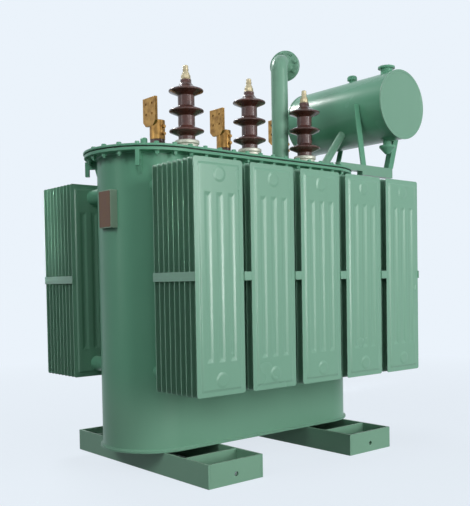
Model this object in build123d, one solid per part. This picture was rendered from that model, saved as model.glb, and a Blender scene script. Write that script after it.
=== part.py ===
from build123d import *
import math
import os

# Oil-filled power transformer: an oblong tank on two skid rails, panel radiators front and rear,
# bushings on the cover, and an oil conservator over the right end. Millimetres, Z up, floor at Z = 0.

# Tank: a slot-shaped plan with its long side along X
tank_straight = 1196.0
tank_radius = 290.0
tank_wall_height = 1607.0
bottom_plate_thickness = 12.0
bottom_plate_lip = 14.0
flange_overhang = 70.0
flange_thickness = 16.0
gasket_thickness = 6.0
gasket_inset = 8.0
gasket_landing = 20.0
cover_thickness = 12.0
cover_overhang = 75.0

# Skid rails: two open frames of plate that run along Y under the tank
rail_spacing = 1070.0
rail_width = 370.0
rail_length = 1320.0
rail_height = 125.0
rail_plate = 14.0
cross_plate_y = 450.0
tow_hole_radius = 12.0
tow_hole_height = 50.0

# Radiators: pressed panels threaded on an upper and a lower header
radiator_count = 5
radiator_pitch = 357.0
panel_top_below_flange = 103.0
panel_count = 9
panel_pitch = 42.5
panel_width = 305.0
panel_height = 1154.0
panel_thickness = 15.0
panel_shoulder = 14.0
seam_width = 22.0
seam_thickness = 4.0
header_radius = 45.0
header_sides = 8
header_inset = 77.0
header_stub = 135.0
groove_count = 3
groove_pitch = 73.5
groove_width = 53.0
groove_depth = 5.0
groove_slope = 14.0
groove_end_margin = 165.0
boss_radius = 52.0
boss_rise = 3.0
boss_slope = 6.0
boss_sides = 16

# Straps on the panel edges and ties between neighbouring radiators
strap_above_panel_bottom = 584.0
strap_height = 45.0
strap_thickness = 4.0
tie_depth = 40.0

# High-voltage bushings: three in the front row
bushing_count = 3
hv_pitch = 470.0
hv_inset = 90.0
hv_clamp_radius = 75.0
hv_clamp_height = 60.0
hv_core_radius = 47.0
hv_insulator_height = 340.0
hv_head_radius = 31.0
shed_count = 3
shed_radius = 98.0
shed_first_height = 51.0
shed_pitch = 112.0
shed_rim = 14.0
shed_rise = 24.0
hv_cap_radius = 28.0
hv_cap_height = 44.0
hv_stud_radius = 15.0
hv_stud_height = 35.0

# Low-voltage terminals: three brass flags in the row behind
lv_pitch = 500.0
lv_y = 45.0
lv_insulator_radius = 55.0
lv_insulator_height = 100.0
lv_barrel_radius = 45.0
lv_barrel_height = 110.0
lv_palm_width = 125.0
lv_palm_height = 130.0
lv_palm_thickness = 18.0
lv_palm_root = 34.0
lv_palm_chamfer = 26.0
lv_palm_x = -38.0
lv_palm_y = 14.0
lv_hole_radius = 7.0
lv_hole_spacing = 60.0

# Relief vent: an upright pipe with a right-angle head that is turned from +X towards the rear
vent_x = 408.0
vent_y = -40.0
vent_turn = 30.0
vent_radius = 54.0
vent_wall = 4.0
vent_bend_radius = 72.0
vent_axis_height = 695.0
vent_run = 46.0
vent_disc_radius = 98.0
vent_disc_thickness = 36.0
vent_foot_radius = 70.0
vent_foot_thickness = 14.0

# Conservator: an oil drum along Y over the tank's right end
drum_x = 1170.0
drum_above_cover = 444.0
drum_radius = 228.0
drum_wall = 5.0
drum_length = 880.0
drum_end_thickness = 8.0
drum_end_lip = 4.0
filler_neck_radius = 22.0
filler_cap_radius = 35.0
filler_neck_height = 22.0
filler_cap_height = 32.0
inspection_y = -308.0
inspection_neck_radius = 40.0
inspection_neck_height = 38.0
inspection_cap_radius = 58.0
inspection_cap_height = 18.0
sump_neck_radius = 28.0
sump_neck_length = 30.0
sump_flange_radius = 54.0
sump_flange_height = 14.0
sump_cone_height = 44.0
sump_tip_radius = 14.0

# Conservator seat: two channel beams, deeper past the cover's rim, with two angle legs each
beam_y = 262.0
beam_start_x = 735.0
beam_end_x = 1285.0
beam_depth = 50.0
beam_height = 44.0
beam_drop = 24.0
beam_wall = 5.0
leg_flange = 45.0
leg_wall = 6.0
inner_leg_foot_x = 998.0
inner_leg_lean = 10.0
outer_leg_foot_x = 1244.0
outer_leg_lean = 17.0

# Oil pipe from the cover up to the drum
pipe_y = -40.0
pipe_foot_x = 776.0
pipe_rise_angle = 51.0
pipe_radius = 27.0
pipe_wall = 4.0

# Fittings on the tank's left end
plate_width = 125.0
plate_height = 205.0
plate_y = -37.0
plate_top_below_flange = 194.0
plate_stand_off = 24.0
plate_sheet = 3.0
nameplate_margin = 6.0
nameplate_thickness = 2.0
hook_angle = 47.0
hook_reach = 80.0
hook_thickness = 20.0
hook_drop = 84.0
hook_prong = 22.0
hook_slot_width = 36.0
hook_slot_height = 42.0
hook_toe_drop = 124.0
pocket_x = -612.0
pocket_y = 20.0
pocket_radius = 22.0
pocket_height = 95.0

# Levels and planes that follow from the sizes above
plate_top = rail_height + bottom_plate_thickness
flange_bottom = plate_top + tank_wall_height
gasket_bottom = flange_bottom + flange_thickness
cover_bottom = gasket_bottom + gasket_thickness
cover_top = cover_bottom + cover_thickness
radiator_bottom = flange_bottom - panel_top_below_flange - panel_height
plate_bottom = flange_bottom - plate_top_below_flange - plate_height
stack_inner_y = tank_radius + header_stub
stack_depth = (panel_count - 1) * panel_pitch + panel_thickness
stack_outer_y = stack_inner_y + stack_depth
hv_y = hv_inset - tank_radius
drum_z = cover_top + drum_above_cover
beam_step_x = tank_straight / 2 + tank_radius + cover_overhang
left_end_x = -(tank_straight / 2 + tank_radius + cover_overhang)
right_end_x = drum_x + drum_radius + drum_end_lip
frame_shift = -(left_end_x + right_end_x) / 2


def oblong(offset, bottom, height):
    """A slab with the tank's plan, grown outwards by offset."""
    plan = SlotCenterToCenter(tank_straight, 2 * (tank_radius + offset))
    return extrude(Plane.XY.offset(bottom) * plan, height)


def oblong_ring(outer_offset, inner_offset, bottom, height):
    """A flat frame that follows the tank's plan."""
    return oblong(outer_offset, bottom, height) - oblong(inner_offset, bottom, height)


def upright(x, y, bottom, radius, height):
    """A round bar that stands on a level."""
    return Pos(x, y, bottom) * Cylinder(radius, height, align=(Align.CENTER, Align.CENTER, Align.MIN))


def slab(x0, x1, y0, y1, z0, z1):
    """A box between two corners."""
    return Pos(x0, y0, z0) * Box(x1 - x0, y1 - y0, z1 - z0, align=(Align.MIN, Align.MIN, Align.MIN))


def turned(x, y, bottom, profile):
    """A solid of revolution about an upright axis, from (radius, height) points."""
    face = make_face(Polyline(*profile, close=True))
    spun = revolve(Plane.XZ * face, Axis.Z)
    return Pos(x, y, bottom) * spun


def row(count, pitch):
    """Places of a row of like pieces, centred on zero."""
    return [(index - (count - 1) / 2) * pitch for index in range(count)]


def drum_body():
    """The drum's outer form, used to trim what is welded to it."""
    lying = Rot(90, 0, 0) * Cylinder(drum_radius, 2 * drum_length)
    return Pos(drum_x, 0, drum_z) * lying


def pressing(outline, rise, slope):
    """A flat-topped form on the XY plane whose sides lean inwards as it rises."""
    return extrude(outline, rise, taper=math.degrees(math.atan2(slope, rise)))


def panel():
    """A panel that lies on the XY plane: two pressed sheets inside a flat seam welded all round."""
    rise = (panel_thickness - seam_thickness) / 2
    seam = extrude(Rectangle(panel_width, panel_height), seam_thickness / 2, both=True)
    outline = Rectangle(panel_width - 2 * seam_width, panel_height - 2 * seam_width)
    sheet = Pos(0, 0, seam_thickness / 2) * pressing(outline, rise, panel_shoulder)
    return seam + sheet + mirror(sheet, about=Plane.XY)


def outer_panel():
    """The outermost panel: upright grooves between its oil channels and a round boss over each header."""
    low, top = seam_thickness / 2, panel_thickness / 2
    body = panel()
    strip = Rectangle(groove_width, panel_height - 2 * groove_end_margin)
    groove = mirror(pressing(strip, groove_depth, groove_slope), about=Plane.XY)
    for place in row(groove_count, groove_pitch):
        body -= Pos(place, 0, top) * groove
    boss = pressing(RegularPolygon(boss_radius, boss_sides), top - low + boss_rise, boss_slope)
    for place in row(2, panel_height - 2 * header_inset):
        body += Pos(0, place, low) * boss
    return body


def header_heights():
    """Levels of the lower and the upper header."""
    return [radiator_bottom + header_inset, radiator_bottom + panel_height - header_inset]


def radiator():
    """A front radiator at X = 0: panels threaded on two headers."""
    length = stack_depth - panel_thickness
    inner_y = -stack_inner_y - panel_thickness / 2
    middle = radiator_bottom + panel_height / 2
    plain, pressed = panel(), outer_panel()
    pieces = []
    for index in range(panel_count):
        facing = Plane(origin=(0, inner_y - index * panel_pitch, middle), x_dir=(1, 0, 0), z_dir=(0, -1, 0))
        pieces.append(facing.location * (pressed if index == panel_count - 1 else plain))
    for height in header_heights():
        start = Plane(origin=(0, -stack_inner_y - length, height), x_dir=(1, 0, 0), z_dir=(0, 1, 0))
        bar = RegularPolygon(header_radius, header_sides, rotation=180 / header_sides)
        pieces.append(extrude(start * bar, length))
    return Part() + pieces


def header_stubs(tank):
    """Round pipes that carry the front radiators' headers into the tank wall."""
    stubs = []
    for x in row(radiator_count, radiator_pitch):
        for height in header_heights():
            start = Plane(origin=(x, -stack_inner_y, height), x_dir=(1, 0, 0), z_dir=(0, 1, 0))
            stubs.append(extrude(start * Circle(header_radius), stack_inner_y) - tank)
    return stubs


def rear(shape):
    """The same piece on the rear side."""
    return mirror(shape, about=Plane.XZ)


def edge_straps():
    """Flat straps across the panel edges at mid height, one on each side of each radiator."""
    low = radiator_bottom + strap_above_panel_bottom - strap_height / 2
    straps = []
    for x in row(radiator_count, radiator_pitch):
        for side in (-1, 1):
            near = x + side * panel_width / 2
            far = near + side * strap_thickness
            straps.append(slab(min(near, far), max(near, far), -stack_outer_y, -stack_inner_y,
                               low, low + strap_height))
    return straps


def bank_ties():
    """Short bars that tie neighbouring radiators through their straps."""
    low = radiator_bottom + strap_above_panel_bottom - strap_height / 2
    half = (radiator_pitch - panel_width) / 2 - strap_thickness
    ties = []
    for x in row(radiator_count - 1, radiator_pitch):
        ties.append(slab(x - half, x + half, -stack_outer_y, -stack_outer_y + tie_depth,
                         low, low + strap_height))
    return ties


def rail_webs(x):
    """The two long plates of a skid rail."""
    half = rail_width / 2
    ends = rail_length / 2
    left = slab(x - half, x - half + rail_plate, -ends, ends, 0, rail_height)
    right = slab(x + half - rail_plate, x + half, -ends, ends, 0, rail_height)
    return [left, right]


def rail_ends(x):
    """End plates between the webs, each with a tow hole."""
    half = rail_width / 2 - rail_plate
    plates = []
    for side in (-1, 1):
        outer = side * rail_length / 2
        inner = outer - side * rail_plate
        plate = slab(x - half, x + half, min(outer, inner), max(outer, inner), 0, rail_height)
        hole = Pos(x, outer, tow_hole_height) * (Rot(90, 0, 0) * Cylinder(tow_hole_radius, 4 * rail_plate))
        plates.append(plate - hole)
    return plates


def rail_cross_plates(x):
    """Plates between the webs that carry the tank bottom."""
    half = rail_width / 2 - rail_plate
    plates = []
    for y in (-cross_plate_y, cross_plate_y):
        plates.append(slab(x - half, x + half, y - rail_plate / 2, y + rail_plate / 2, 0, rail_height))
    return plates


def hv_insulator(x):
    """A porcelain bushing with lens-shaped sheds and a narrow head."""
    profile = [(0, 0), (hv_core_radius, 0)]
    for index in range(shed_count):
        middle = shed_first_height + index * shed_pitch
        profile.append((hv_core_radius, middle - shed_rise))
        profile.append((shed_radius, middle - shed_rim / 2))
        profile.append((shed_radius, middle + shed_rim / 2))
        profile.append((hv_core_radius, middle + shed_rise))
    profile.append((hv_head_radius, middle + 2 * shed_rise))
    profile.append((hv_head_radius, hv_insulator_height))
    profile.append((0, hv_insulator_height))
    return turned(x, hv_y, cover_top + hv_clamp_height, profile)


def hv_terminal(x):
    """A brass cap that tapers to an upright stud."""
    top = hv_cap_height + hv_stud_height
    profile = [
        (0, 0),
        (hv_cap_radius, 0),
        (hv_stud_radius, hv_cap_height),
        (hv_stud_radius, top),
        (0, top),
    ]
    return turned(x, hv_y, cover_top + hv_clamp_height + hv_insulator_height, profile)


def lv_terminal(x):
    """A brass barrel with a flat palm that stands up on its left side, drilled for a busbar."""
    bottom = cover_top + lv_insulator_height
    palm_bottom = bottom + lv_barrel_height
    barrel = upright(x, lv_y, bottom, lv_barrel_radius, lv_barrel_height)
    half = lv_palm_width / 2
    outline = [
        (-half + lv_palm_chamfer, -lv_palm_root),
        (half - lv_palm_chamfer, -lv_palm_root),
        (half, lv_palm_chamfer - lv_palm_root),
        (half, lv_palm_height),
        (-half, lv_palm_height),
        (-half, lv_palm_chamfer - lv_palm_root),
    ]
    sketch = make_face(Polyline(*outline, close=True))
    for across in (-lv_hole_spacing / 2, lv_hole_spacing / 2):
        for up in (-lv_hole_spacing / 2, lv_hole_spacing / 2):
            sketch -= Pos(across, lv_palm_height / 2 + up) * Circle(lv_hole_radius)
    side = Plane(origin=(x + lv_palm_x, lv_y + lv_palm_y, palm_bottom), x_dir=(0, 1, 0), z_dir=(1, 0, 0))
    return barrel + extrude(side * sketch, lv_palm_thickness / 2, both=True)


def on_vent(shape):
    """Moves a piece made on the Z axis to the vent's place and turns it to the vent's heading."""
    return Pos(vent_x, vent_y, 0) * (Rot(0, 0, vent_turn) * shape)


def vent_pipe():
    """An upright tube, a tight right-angle bend and a short level run."""
    bottom = cover_top + vent_foot_thickness
    bend_z = cover_top + vent_axis_height - vent_bend_radius
    ring = Circle(vent_radius) - Circle(vent_radius - vent_wall)
    stem = extrude(Pos(0, 0, bottom) * ring, bend_z - bottom)
    pivot = Axis((vent_bend_radius, 0, bend_z), (0, 1, 0))
    bend = revolve(Pos(0, 0, bend_z) * ring, pivot, 90)
    mouth = Plane(origin=(vent_bend_radius, 0, cover_top + vent_axis_height), x_dir=(0, 1, 0), z_dir=(1, 0, 0))
    return on_vent(stem + bend + extrude(mouth * ring, vent_run))


def vent_disc():
    """The pair of flanges that hold the burst disc over the vent's mouth."""
    reach = vent_bend_radius + vent_run
    face = Plane(origin=(reach, 0, cover_top + vent_axis_height), x_dir=(0, 1, 0), z_dir=(1, 0, 0))
    return on_vent(extrude(face * Circle(vent_disc_radius), vent_disc_thickness))


def drum_shell():
    """The conservator's rolled wall, open at both ends."""
    length = drum_length - 2 * drum_end_thickness
    start = Plane(origin=(drum_x, -length / 2, drum_z), x_dir=(1, 0, 0), z_dir=(0, 1, 0))
    ring = Circle(drum_radius) - Circle(drum_radius - drum_wall)
    return extrude(start * ring, length)


def drum_end(side):
    """A flat end plate with a small lip round the wall."""
    inner = side * (drum_length / 2 - drum_end_thickness)
    start = Plane(origin=(drum_x, inner, drum_z), x_dir=(1, 0, 0), z_dir=(0, side, 0))
    return extrude(start * Circle(drum_radius + drum_end_lip), drum_end_thickness)


def drum_cap(y, neck_radius, neck_height, cap_radius, cap_height):
    """A neck and cap on the drum's crown, its foot cut to the wall."""
    crown = drum_z + drum_radius
    neck = upright(drum_x, y, crown - neck_radius, neck_radius, neck_radius + neck_height)
    cap = upright(drum_x, y, crown + neck_height, cap_radius, cap_height)
    return neck + cap - drum_body()


def oil_sump():
    """A necked cup under the drum that tapers to its drain."""
    low = drum_z - drum_radius
    flange_top = -sump_neck_length
    flange_low = flange_top - sump_flange_height
    profile = [
        (0, sump_neck_radius),
        (sump_neck_radius, sump_neck_radius),
        (sump_neck_radius, flange_top),
        (sump_flange_radius, flange_top),
        (sump_flange_radius, flange_low),
        (sump_tip_radius, flange_low - sump_cone_height),
        (0, flange_low - sump_cone_height),
    ]
    return turned(drum_x, inspection_y, low, profile) - drum_body()


def beam(side):
    """A channel that lies on the cover and drops past its rim to reach out under the drum, web outwards."""
    outer = side * beam_y
    inner = outer - side * beam_depth
    low = cover_top
    high = cover_top + beam_height
    deep = cover_top - beam_drop
    near, far = min(outer, inner), max(outer, inner)
    bar = slab(beam_start_x, beam_end_x, near, far, low, high)
    bar += slab(beam_step_x, beam_end_x, near, far, deep, high)
    web = outer - side * beam_wall
    beyond = inner - side * beam_wall
    near, far = min(web, beyond), max(web, beyond)
    bar -= slab(beam_start_x - beam_wall, beam_end_x + beam_wall, near, far, low + beam_wall, high - beam_wall)
    bar -= slab(beam_step_x + beam_wall, beam_end_x + beam_wall, near, far, deep + beam_wall, high - beam_wall)
    return bar


def leg(foot_x, lean, side, hand):
    """An angle bar that leans from a beam to the drum, trimmed to both."""
    reach = drum_z - cover_top - beam_height
    run = (leg_flange + reach) / math.cos(math.radians(abs(lean)))
    tilt = math.radians(lean)
    start = Vector(foot_x, side * beam_y, cover_top + beam_height)
    along = Vector(math.sin(tilt), 0, math.cos(tilt))
    frame = Plane(origin=start - along * leg_flange, x_dir=(0, -side, 0), z_dir=along)
    long_flange = Pos(leg_flange / 2, 0) * Rectangle(leg_flange, leg_wall)
    cross_flange = Pos(leg_wall / 2, hand * leg_flange / 2) * Rectangle(leg_wall, leg_flange)
    bar = extrude(frame * (long_flange + cross_flange), run + leg_flange)
    below = slab(foot_x - 2 * run, foot_x + 2 * run, -2 * drum_length, 2 * drum_length,
                 -run, cover_top + beam_height)
    above = slab(foot_x - 2 * run, foot_x + 2 * run, -2 * drum_length, 2 * drum_length,
                 drum_z, drum_z + 2 * run)
    return bar - below - above - drum_body()


def oil_pipe():
    """A straight inclined tube, cut flush with the cover and the drum."""
    angle = math.radians(pipe_rise_angle)
    along = Vector(math.cos(angle), 0, math.sin(angle))
    foot = Vector(pipe_foot_x, pipe_y, cover_top)
    reach = (drum_z - cover_top) / math.sin(angle)
    start = Plane(origin=foot - along * 3 * pipe_radius, x_dir=(0, 1, 0), z_dir=along)
    ring = Circle(pipe_radius) - Circle(pipe_radius - pipe_wall)
    tube = extrude(start * ring, reach + 3 * pipe_radius)
    below = slab(left_end_x, right_end_x, -tank_radius, tank_radius, 0, cover_top)
    lower = tube - below - drum_body()
    return lower.solids().sort_by(Axis.Z)[0]


def nameplate_bracket(tank):
    """A folded sheet bracket on the tank's left end."""
    face_x = -(tank_straight / 2 + tank_radius + plate_stand_off)
    half = plate_width / 2
    back_x = face_x + plate_stand_off + tank_radius
    block = slab(face_x, back_x, plate_y - half, plate_y + half, plate_bottom, plate_bottom + plate_height)
    hollow = slab(face_x + plate_sheet, back_x, plate_y - half + plate_sheet, plate_y + half - plate_sheet,
                  plate_bottom - plate_sheet, plate_bottom + plate_height + plate_sheet)
    return block - hollow - tank


def nameplate():
    """A blank plate on the bracket's face."""
    face_x = -(tank_straight / 2 + tank_radius + plate_stand_off)
    half = plate_width / 2 - nameplate_margin
    return slab(face_x - nameplate_thickness, face_x, plate_y - half, plate_y + half,
                plate_bottom + nameplate_margin, plate_bottom + plate_height - nameplate_margin)


def lifting_hook(side_x, side_y, tank):
    """A plate hook under the flange, square to the tank's round end."""
    slot_inner = hook_reach - hook_prong - hook_slot_width
    outline = [
        (-hook_thickness, 0),
        (hook_reach, 0),
        (hook_reach, -hook_drop),
        (hook_reach - hook_prong, -hook_drop),
        (hook_reach - hook_prong, hook_slot_height - hook_drop),
        (slot_inner, hook_slot_height - hook_drop),
        (0, -hook_toe_drop),
        (-hook_thickness, -hook_toe_drop),
    ]
    angle = math.radians(hook_angle)
    outward = Vector(side_x * math.cos(angle), side_y * math.sin(angle), 0)
    centre = Vector(side_x * tank_straight / 2, 0, flange_bottom)
    across = outward.cross(Vector(0, 0, 1))
    frame = Plane(origin=centre + outward * tank_radius, x_dir=outward, z_dir=across)
    plate = extrude(frame * make_face(Polyline(*outline, close=True)), hook_thickness / 2, both=True)
    return plate - tank


def write(name, pieces):
    """Moves a node's solids to the frame and writes them to one file."""
    placed = [Pos(frame_shift, 0, 0) * piece for piece in pieces]
    solids = [solid for piece in placed for solid in piece.solids()]
    export_step(solids[0] if len(solids) == 1 else Compound(solids), f"parts/{name}.step")


os.makedirs("parts", exist_ok=True)

tank_body = oblong(0, plate_top, tank_wall_height + flange_thickness)
tank_wall = oblong(0, 0, cover_top)
write("tank_body", [tank_body])
write("tank_bottom_plate", [oblong(bottom_plate_lip, rail_height, bottom_plate_thickness)])
write("tank_flange", [oblong_ring(flange_overhang, 0, flange_bottom, flange_thickness)])
gasket_edge = flange_overhang - gasket_inset
write("cover_gasket", [oblong_ring(gasket_edge, -gasket_landing, gasket_bottom, gasket_thickness)])
write("tank_cover", [oblong(cover_overhang, cover_bottom, cover_thickness)])

stack = radiator()
for index, place in enumerate(row(radiator_count, radiator_pitch), start=1):
    front = Pos(place, 0, 0) * stack
    write(f"front_radiator_{index}", [front])
    write(f"rear_radiator_{index}", [rear(front)])
write("front_header_stubs", header_stubs(tank_wall))
write("rear_header_stubs", [rear(stub) for stub in header_stubs(tank_wall)])
write("front_edge_straps", edge_straps())
write("rear_edge_straps", [rear(strap) for strap in edge_straps()])
write("front_bank_ties", bank_ties())
write("rear_bank_ties", [rear(tie) for tie in bank_ties()])

for name, x in (("left", -rail_spacing / 2), ("right", rail_spacing / 2)):
    write(f"{name}_rail_webs", rail_webs(x))
    write(f"{name}_rail_ends", rail_ends(x))
    write(f"{name}_rail_cross_plates", rail_cross_plates(x))

hv_places = row(bushing_count, hv_pitch)
write("hv_clamps", [upright(x, hv_y, cover_top, hv_clamp_radius, hv_clamp_height) for x in hv_places])
write("hv_insulators", [hv_insulator(x) for x in hv_places])
write("hv_terminals", [hv_terminal(x) for x in hv_places])
lv_places = row(bushing_count, lv_pitch)
write("lv_insulators", [upright(x, lv_y, cover_top, lv_insulator_radius, lv_insulator_height)
                        for x in lv_places])
write("lv_terminals", [lv_terminal(x) for x in lv_places])

write("vent_foot", [upright(vent_x, vent_y, cover_top, vent_foot_radius, vent_foot_thickness)])
write("vent_pipe", [vent_pipe()])
write("vent_disc", [vent_disc()])

write("conservator_shell", [drum_shell()])
write("conservator_front_end", [drum_end(-1)])
write("conservator_rear_end", [drum_end(1)])
write("filler_cap", [drum_cap(0, filler_neck_radius, filler_neck_height,
                              filler_cap_radius, filler_cap_height)])
write("inspection_cap", [drum_cap(inspection_y, inspection_neck_radius, inspection_neck_height,
                                  inspection_cap_radius, inspection_cap_height)])
write("oil_sump", [oil_sump()])
write("conservator_beams", [beam(-1), beam(1)])
write("conservator_legs", [leg(inner_leg_foot_x, -inner_leg_lean, side, -side) for side in (-1, 1)]
      + [leg(outer_leg_foot_x, outer_leg_lean, side, side) for side in (-1, 1)])
write("oil_pipe", [oil_pipe()])

write("nameplate_bracket", [nameplate_bracket(tank_wall)])
write("nameplate", [nameplate()])
write("lifting_hooks", [lifting_hook(side_x, side_y, tank_wall) for side_x in (-1, 1) for side_y in (-1, 1)])
write("thermometer_pocket", [upright(pocket_x, pocket_y, cover_top, pocket_radius, pocket_height)])
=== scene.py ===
import math
from contextlib import contextmanager

import bmesh
import bpy
from mathutils import Euler, Matrix, Vector


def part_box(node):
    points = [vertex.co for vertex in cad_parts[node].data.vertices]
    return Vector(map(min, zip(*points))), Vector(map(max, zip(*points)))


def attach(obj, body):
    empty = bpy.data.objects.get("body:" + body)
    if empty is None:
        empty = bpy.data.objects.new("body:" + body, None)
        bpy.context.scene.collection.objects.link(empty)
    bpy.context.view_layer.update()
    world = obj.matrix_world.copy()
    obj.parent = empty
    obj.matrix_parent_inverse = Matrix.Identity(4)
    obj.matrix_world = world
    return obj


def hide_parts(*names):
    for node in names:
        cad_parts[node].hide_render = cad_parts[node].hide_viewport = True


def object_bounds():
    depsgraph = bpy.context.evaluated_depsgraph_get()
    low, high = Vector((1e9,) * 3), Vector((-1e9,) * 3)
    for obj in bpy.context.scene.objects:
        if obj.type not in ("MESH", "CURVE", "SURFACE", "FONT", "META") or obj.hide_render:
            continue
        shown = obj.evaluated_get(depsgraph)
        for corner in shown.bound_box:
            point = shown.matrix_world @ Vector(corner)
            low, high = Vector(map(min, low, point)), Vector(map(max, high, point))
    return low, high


bl_info = {
    "name": "Power transformer dressing",
    "version": (1, 0, 0),
    "blender": (4, 5, 0),
    "location": "View3D > Sidebar > Transformer",
    "description": "Pressed radiators, bushings, fittings and finishes for an oil-filled power transformer",
    "category": "Object",
}

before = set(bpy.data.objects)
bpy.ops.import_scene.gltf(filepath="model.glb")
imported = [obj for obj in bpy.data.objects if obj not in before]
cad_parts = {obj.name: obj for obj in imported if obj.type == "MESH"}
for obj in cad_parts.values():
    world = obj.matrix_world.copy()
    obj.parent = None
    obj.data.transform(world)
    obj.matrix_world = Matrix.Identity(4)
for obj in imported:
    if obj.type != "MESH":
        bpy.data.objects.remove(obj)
CAD_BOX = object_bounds()
BODY = "root"
UP = Vector((0, 0, 1))

# The tank's plan, read from the frame: an oblong with round ends
TANK_LOW, TANK_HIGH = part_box("tank_body")
TANK_MIDDLE = (TANK_LOW + TANK_HIGH) / 2
TANK_RADIUS = (TANK_HIGH.y - TANK_LOW.y) / 2
TANK_STRAIGHT = TANK_HIGH.x - TANK_LOW.x - 2 * TANK_RADIUS
COVER_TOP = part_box("tank_cover")[1].z
FLANGE_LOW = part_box("tank_flange")[0].z
FLANGE_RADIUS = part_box("tank_flange")[1].y

SAME_POINT = 0.00002  # points nearer than this are one
ROUND = 80.0  # shading angle for beads, which are round all over
PLAN_STEPS = 128  # steps round the tank's plan
PLAN_TURN = (0, 0, math.pi / PLAN_STEPS)  # keeps the steps clear of the plan's middle line
TANK_BEAD = 0.006  # radius of the tank's weld beads
HEAD_CHAMFER, WASHER_REACH = 0.16, 1.3  # a bolt head's chamfer and washer, against its size


# Sizes and colours that a user may change

def length(name, description, default):
    return bpy.props.FloatProperty(name=name, description=description, default=default, unit="LENGTH",
                                   precision=4)


def count(name, description, default):
    return bpy.props.IntProperty(name=name, description=description, default=default, min=1)


def colour(name, description, default):
    return bpy.props.FloatVectorProperty(name=name, description=description, default=default, size=3,
                                         subtype="COLOR", min=0.0, max=1.0)


class RadiatorSizes(bpy.types.PropertyGroup):
    panels: count("Panels", "Pressed panels in one radiator", 9)
    pitch: length("Panel pitch", "Distance from panel to panel", 0.0425)
    seam: length("Seam thickness", "Thickness of the welded seam round a panel", 0.004)
    rim: length("Seam width", "Flat seam between the edge and the pressing", 0.024)
    shoulder: length("Shoulder", "Width of the slope from the seam to the body", 0.0095)
    rise: length("Rise", "Height of a pressed sheet above its seam", 0.0055)
    grooves: count("Grooves", "Upright grooves between the oil channels of a panel", 3)
    groove_pitch: length("Groove pitch", "Distance from groove to groove", 0.0735)
    groove_width: length("Groove width", "Width of a groove at the sheet's face", 0.042)
    groove_wall: length("Groove wall", "Width of the slope along a groove", 0.013)
    groove_depth: length("Groove depth", "Depth of a groove", 0.005)
    groove_margin: length("Groove margin", "From the panel's end to the end of a groove", 0.165)
    groove_run_out: length("Groove run-out", "Length of the slope at a groove's end", 0.018)
    fold: length("Fold", "Rounding of the folds in the sheet", 0.0035)
    corner: length("Corner", "Rounding of the panel's corners", 0.012)
    boss_radius: length("Boss radius", "Round pressing over the header", 0.041)
    boss_rise: length("Boss rise", "Height of the round pressing", 0.0029)
    header_inset: length("Header inset", "From the panel's end to the header's centre", 0.077)
    header_radius: length("Header radius", "Pipe that the panels are threaded on", 0.045)


class VentSizes(bpy.types.PropertyGroup):
    bend: length("Bend", "Radius of the bend along the pipe's middle", 0.072)
    flange: length("Flange", "Thickness of each of the two flanges at the mouth", 0.017)
    joint: length("Joint", "Gap between the two flanges", 0.002)
    bolt_ring: length("Bolt ring", "Radius of the ring of bolts in the flanges", 0.081)
    bolts: count("Bolts", "Bolts in the flanges", 8)


class BoltSizes(bpy.types.PropertyGroup):
    rim_count: count("Rim bolts", "Bolts round the cover", 44)
    rim_inset: length("Rim inset", "From the flange's edge to the bolts", 0.026)
    flats: length("Across flats", "Width of a rim bolt's head", 0.024)
    small_flats: length("Small flats", "Width of a small bolt's head", 0.017)


class FinishColours(bpy.types.PropertyGroup):
    enamel: colour("Enamel", "Green paint of the tank", (0.140, 0.375, 0.245))
    # Lighter green for the edges: partly thin paint and partly a painted highlight along the edges.
    enamel_edge_and_highlight: colour("Enamel edge", "Thin paint on edges", (0.27, 0.50, 0.37))
    # The radiator enamel is paler than the tank's because its colour holds a painted sheen, the pale reflection
    # of light on the radiators' faces.
    radiator: colour("Radiator enamel", "Green paint of the radiators", (0.190, 0.400, 0.280))
    # The fitting enamel is paler than the tank's because its colour holds a painted sheen of reflected light on
    # the front faces of the vent, pipe and drum ends.
    fitting: colour("Fitting enamel", "Green paint of the vent, pipe and drum ends", (0.200, 0.400, 0.285))
    # The bracket paint is a pale, greyer green: partly the bracket's own paint and partly painted light for its
    # face, which is lit from the front.
    bracket: colour("Bracket paint", "Pale paint of the rating plate's bracket", (0.29, 0.42, 0.31))
    # The rail paint is a paler green than the tank's, with a painted sheen of reflected light on the rails' faces
    # mixed into its colour.
    rail: colour("Rail paint", "Green paint of the skid rails", (0.185, 0.400, 0.270))
    porcelain: colour("Porcelain", "Brown glaze", (0.058, 0.021, 0.015))
    brass: colour("Brass", "Low-voltage terminals", (0.47, 0.27, 0.085))
    tinned: colour("Tinned brass", "Studs of the high-voltage bushings", (0.56, 0.48, 0.31))
    alloy: colour("Alloy", "Bushing clamps", (0.62, 0.61, 0.51))
    zinc: colour("Zinc", "Plated bolts", (0.56, 0.58, 0.57))
    copper: colour("Copper", "Blank rating plate", (0.125, 0.058, 0.030))
    backdrop: colour("Backdrop", "Pale floor and background", (0.83, 0.895, 0.965))


# Modelling helpers

def only(*objects):
    """Selects these objects and nothing else; the first one is active."""
    if bpy.context.mode != "OBJECT":
        bpy.ops.object.mode_set(mode="OBJECT")
    bpy.ops.object.select_all(action="DESELECT")
    for item in objects:
        item.select_set(True)
    bpy.context.view_layer.objects.active = objects[0]


@contextmanager
def editing(piece):
    """Edit mode on one piece, all of it selected."""
    only(piece)
    bpy.ops.object.mode_set(mode="EDIT")
    bpy.ops.mesh.select_mode(type="VERT")
    bpy.ops.mesh.select_all(action="SELECT")
    yield
    bpy.ops.object.mode_set(mode="OBJECT")


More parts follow.
